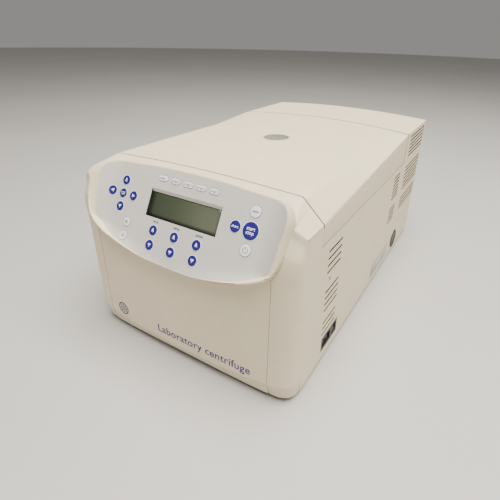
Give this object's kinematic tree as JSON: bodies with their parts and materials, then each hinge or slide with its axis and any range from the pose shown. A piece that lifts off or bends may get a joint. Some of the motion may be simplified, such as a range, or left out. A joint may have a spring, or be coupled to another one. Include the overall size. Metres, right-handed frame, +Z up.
{
  "type": "laboratory centrifuge",
  "caption": "Refrigerated bench-top microtube centrifuge with hinged lid, sight glass, sloping key panel over a smile-shaped lip, side vents and mains inlet.",
  "frame": {"origin": "on the table, under the middle of the machine's box", "axes": "+Z up; the control panel faces -Y; +X is the machine's right side as seen from the front, where the mains inlet is"},
  "size_m": [0.38, 0.64, 0.29],
  "materials": {
    "casing": "cream, satin, finely textured",
    "membrane": "light grey printed foil",
    "liner": "mid grey",
    "base_paint": "dark grey powder coat",
    "dark_paint": "black enamel",
    "foot_rubber": "moulded black rubber",
    "seal_rubber": "soft dark rubber",
    "bowl_steel": "brushed, spun",
    "plain_steel": "zinc plated",
    "fin_aluminium": "thin fins",
    "rotor_aluminium": "anodised",
    "rotor_lid_plastic": "smooth dark lid",
    "copper_pipe": "drawn copper",
    "circuit_board": "green lacquer",
    "display": "grey-green unlit liquid crystal behind a clear window",
    "sight_glass": "smoked",
    "ring_plastic": "grey-cream",
    "inlet_plastic": "black",
    "switch_plastic": "black, glossy",
    "key_blue": "deep blue print",
    "key_white": "white print"
  },
  "bodies": {
    "housing": {"base_pan": "base_paint", "foot_front_left": "foot_rubber", "foot_front_right": "foot_rubber", "foot_rear_left": "foot_rubber", "foot_rear_right": "foot_rubber", "side_panel_left": "casing", "side_panel_right": "casing", "rear_cover": "casing", "rear_panel": "casing", "front_frame": "casing", "front_panel": "casing", "control_pod": "casing", "control_membrane": "membrane", "display_module": "display", "control_board": "circuit_board", "deck": "liner", "rotor_bowl": "bowl_steel", "motor": "dark_paint", "motor_mount": "plain_steel", "compressor": "dark_paint", "condenser": "fin_aluminium", "refrigerant_pipe": "copper_pipe", "power_inlet": "inlet_plastic", "hinge_bracket": "plain_steel", "hinge_rod": "plain_steel", "lid_lock": "dark_paint"},
    "lid": {"lid_shell": "casing", "lid_liner": "liner", "lid_gasket": "seal_rubber", "sight_glass": "sight_glass", "sight_glass_ring": "ring_plastic", "lid_hinge": "plain_steel", "lid_latch": "plain_steel"},
    "rotor": {"rotor": "rotor_aluminium", "rotor_lid": "rotor_lid_plastic", "motor_shaft": "plain_steel"},
    "fan": {"condenser_fan": "inlet_plastic"},
    "mains_rocker": {"mains_switch": "switch_plastic"},
    "key_menu_up": {"key_menu_up": "key_blue"},
    "key_menu_left": {"key_menu_left": "key_blue"},
    "key_menu_enter": {"key_menu_enter": "key_blue"},
    "key_menu_right": {"key_menu_right": "key_blue"},
    "key_menu_down": {"key_menu_down": "key_blue"},
    "key_fast_cool": {"key_fast_cool": "key_white"},
    "key_rotor": {"key_rotor": "key_white"},
    "key_open": {"key_open": "key_white"},
    "key_short": {"key_short": "key_blue"},
    "key_start_stop": {"key_start_stop": "key_blue"},
    "key_standby": {"key_standby": "key_white"},
    "key_time_up": {"key_time_up": "key_blue"},
    "key_time_down": {"key_time_down": "key_blue"},
    "key_temperature_up": {"key_temperature_up": "key_blue"},
    "key_temperature_down": {"key_temperature_down": "key_blue"},
    "key_speed_up": {"key_speed_up": "key_blue"},
    "key_speed_down": {"key_speed_down": "key_blue"},
    "key_program_1": {"key_program_1": "key_white"},
    "key_program_2": {"key_program_2": "key_white"},
    "key_program_3": {"key_program_3": "key_white"},
    "key_program_4": {"key_program_4": "key_white"},
    "key_program_5": {"key_program_5": "key_white"}
  },
  "joints": [
    {"name": "lid_hinge_turn", "type": "hinge", "parent": "housing", "child": "lid", "pos_m": [0, 0.152, 0.283], "axis": [-1, 0, 0], "range_deg": [0, 60]},
    {"name": "rotor_spin", "type": "hinge", "parent": "housing", "child": "rotor", "pos_m": [0, -0.035, 0.16], "axis": [0, 0, 1], "continuous": true},
    {"name": "fan_spin", "type": "hinge", "parent": "housing", "child": "fan", "pos_m": [0.141, 0.243, 0.15], "axis": [1, 0, 0], "continuous": true},
    {"name": "mains_switch_rock", "type": "hinge", "parent": "housing", "child": "mains_rocker", "pos_m": [0.179, -0.168, 0.0375], "axis": [0, 1, 0], "range_deg": [-14, 0]},
    {"name": "key_menu_up_press", "type": "slide", "parent": "housing", "child": "key_menu_up", "axis": [0, 0.866, -0.5], "range_m": [0, 0.0006], "stiffness_N_per_m": 300},
    {"name": "key_menu_left_press", "type": "slide", "parent": "housing", "child": "key_menu_left", "axis": [0, 0.866, -0.5], "range_m": [0, 0.0006], "stiffness_N_per_m": 300},
    {"name": "key_menu_enter_press", "type": "slide", "parent": "housing", "child": "key_menu_enter", "axis": [0, 0.866, -0.5], "range_m": [0, 0.0006], "stiffness_N_per_m": 300},
    {"name": "key_menu_right_press", "type": "slide", "parent": "housing", "child": "key_menu_right", "axis": [0, 0.866, -0.5], "range_m": [0, 0.0006], "stiffness_N_per_m": 300},
    {"name": "key_menu_down_press", "type": "slide", "parent": "housing", "child": "key_menu_down", "axis": [0, 0.866, -0.5], "range_m": [0, 0.0006], "stiffness_N_per_m": 300},
    {"name": "key_fast_cool_press", "type": "slide", "parent": "housing", "child": "key_fast_cool", "axis": [0, 0.866, -0.5], "range_m": [0, 0.0006], "stiffness_N_per_m": 300},
    {"name": "key_rotor_press", "type": "slide", "parent": "housing", "child": "key_rotor", "axis": [0, 0.866, -0.5], "range_m": [0, 0.0006], "stiffness_N_per_m": 300},
    {"name": "key_open_press", "type": "slide", "parent": "housing", "child": "key_open", "axis": [0, 0.866, -0.5], "range_m": [0, 0.0006], "stiffness_N_per_m": 300},
    {"name": "key_short_press", "type": "slide", "parent": "housing", "child": "key_short", "axis": [0, 0.866, -0.5], "range_m": [0, 0.0006], "stiffness_N_per_m": 300},
    {"name": "key_start_stop_press", "type": "slide", "parent": "housing", "child": "key_start_stop", "axis": [0, 0.866, -0.5], "range_m": [0, 0.0006], "stiffness_N_per_m": 300},
    {"name": "key_standby_press", "type": "slide", "parent": "housing", "child": "key_standby", "axis": [0, 0.866, -0.5], "range_m": [0, 0.0006], "stiffness_N_per_m": 300},
    {"name": "key_time_up_press", "type": "slide", "parent": "housing", "child": "key_time_up", "axis": [0, 0.866, -0.5], "range_m": [0, 0.0006], "stiffness_N_per_m": 300},
    {"name": "key_time_down_press", "type": "slide", "parent": "housing", "child": "key_time_down", "axis": [0, 0.866, -0.5], "range_m": [0, 0.0006], "stiffness_N_per_m": 300},
    {"name": "key_temperature_up_press", "type": "slide", "parent": "housing", "child": "key_temperature_up", "axis": [0, 0.866, -0.5], "range_m": [0, 0.0006], "stiffness_N_per_m": 300},
    {"name": "key_temperature_down_press", "type": "slide", "parent": "housing", "child": "key_temperature_down", "axis": [0, 0.866, -0.5], "range_m": [0, 0.0006], "stiffness_N_per_m": 300},
    {"name": "key_speed_up_press", "type": "slide", "parent": "housing", "child": "key_speed_up", "axis": [0, 0.866, -0.5], "range_m": [0, 0.0006], "stiffness_N_per_m": 300},
    {"name": "key_speed_down_press", "type": "slide", "parent": "housing", "child": "key_speed_down", "axis": [0, 0.866, -0.5], "range_m": [0, 0.0006], "stiffness_N_per_m": 300},
    {"name": "key_program_1_press", "type": "slide", "parent": "housing", "child": "key_program_1", "axis": [0, 0.866, -0.5], "range_m": [0, 0.0006], "stiffness_N_per_m": 300},
    {"name": "key_program_2_press", "type": "slide", "parent": "housing", "child": "key_program_2", "axis": [0, 0.866, -0.5], "range_m": [0, 0.0006], "stiffness_N_per_m": 300},
    {"name": "key_program_3_press", "type": "slide", "parent": "housing", "child": "key_program_3", "axis": [0, 0.866, -0.5], "range_m": [0, 0.0006], "stiffness_N_per_m": 300},
    {"name": "key_program_4_press", "type": "slide", "parent": "housing", "child": "key_program_4", "axis": [0, 0.866, -0.5], "range_m": [0, 0.0006], "stiffness_N_per_m": 300},
    {"name": "key_program_5_press", "type": "slide", "parent": "housing", "child": "key_program_5", "axis": [0, 0.866, -0.5], "range_m": [0, 0.0006], "stiffness_N_per_m": 300}
  ]
}
